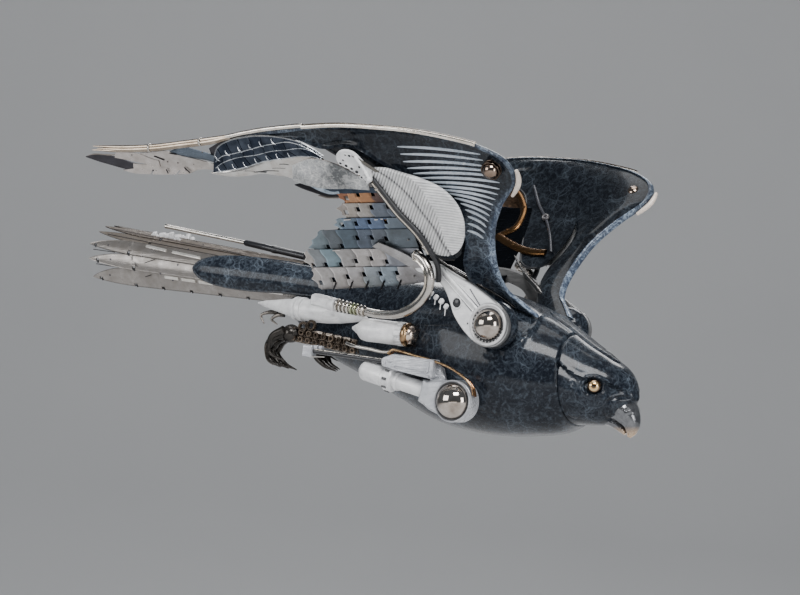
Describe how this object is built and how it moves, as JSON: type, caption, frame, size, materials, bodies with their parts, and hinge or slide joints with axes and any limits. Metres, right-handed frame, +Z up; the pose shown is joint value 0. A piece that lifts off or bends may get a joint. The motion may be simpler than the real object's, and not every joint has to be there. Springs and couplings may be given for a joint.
{
  "type": "mechanical falcon sculpture",
  "caption": "Metal falcon in gliding flight with raised, swept-back wings, notched blade feathers, visible linkages and tucked legs, hung from a pad on its back.",
  "frame": {"origin": "centre of the flat top of the hanging pad on the bird's back, on its plane of symmetry", "axes": "+X towards the beak, +Y to the bird's left, +Z up, out of the hanging pad"},
  "size_m": [0.5153, 0.306, 0.2388],
  "materials": {
    "marbled_enamel": "glossy blue-black enamel with pale blue-grey veins",
    "polished_ball": "mirror polished, slightly warm",
    "bright_steel": "drawn and polished steel",
    "blade_steel": "satin sheet steel, some blades heat-tinted blue and orange",
    "blued_blade": "dark blued sheet steel with bright edges",
    "white_cast": "satin white cast metal",
    "grey_cast": "satin grey cast metal",
    "bronze": "pale polished bronze",
    "dark_rod": "satin black",
    "dark_iron": "dark oiled iron",
    "eye_gold": "golden iris, glossy, with a dark pupil",
    "bill": "dark polished steel with a pale horn tip"
  },
  "bodies": {
    "root": {"body_shell": "marbled_enamel", "head_shell": "marbled_enamel", "crown_plate": "marbled_enamel", "tail_cover_right": "marbled_enamel", "tail_cover_left": "marbled_enamel", "wing_shell_right": "marbled_enamel", "wing_shell_left": "marbled_enamel", "wrist_ball_right": "polished_ball", "wrist_ball_left": "polished_ball", "shoulder_ball_right": "polished_ball", "shoulder_ball_left": "polished_ball", "knee_ball_right": "polished_ball", "knee_ball_left": "polished_ball", "wing_rail_right": "bright_steel", "wing_rail_left": "bright_steel", "bent_pipe_right": "bright_steel", "bent_pipe_left": "bright_steel", "push_rod_right": "bright_steel", "push_rod_left": "bright_steel", "tail_strut": "bright_steel", "tail_feathers_right": "blade_steel", "tail_feathers_left": "blade_steel", "primary_feathers_right": "blade_steel", "primary_feathers_left": "blade_steel", "secondary_feathers_right": "blade_steel", "secondary_feathers_left": "blade_steel", "covert_feathers_right": "blued_blade", "covert_feathers_left": "blued_blade", "wing_tab_right": "white_cast", "wing_tab_left": "white_cast", "feather_plate_right": "white_cast", "feather_plate_left": "white_cast", "finger_link_right": "white_cast", "finger_link_left": "white_cast", "upper_arm_right": "white_cast", "upper_arm_left": "white_cast", "pipe_ferrule_right": "white_cast", "pipe_ferrule_left": "white_cast", "shin_tube_right": "white_cast", "shin_tube_left": "white_cast", "tarsus_cylinder_right": "white_cast", "tarsus_cylinder_left": "white_cast", "vent_tube_right": "white_cast", "vent_tube_left": "white_cast", "tail_brackets_right": "white_cast", "tail_brackets_left": "white_cast", "thigh_housing_right": "grey_cast", "thigh_housing_left": "grey_cast", "leg_actuator_right": "grey_cast", "leg_actuator_left": "grey_cast", "tarsus_dome_right": "bronze", "tarsus_dome_left": "bronze", "tail_sleeve": "dark_rod", "foot_right": "dark_iron", "foot_left": "dark_iron", "eye_right": "eye_gold", "eye_left": "eye_gold", "beak_upper": "bill", "beak_lower": "bill"}
  },
  "joints": []
}
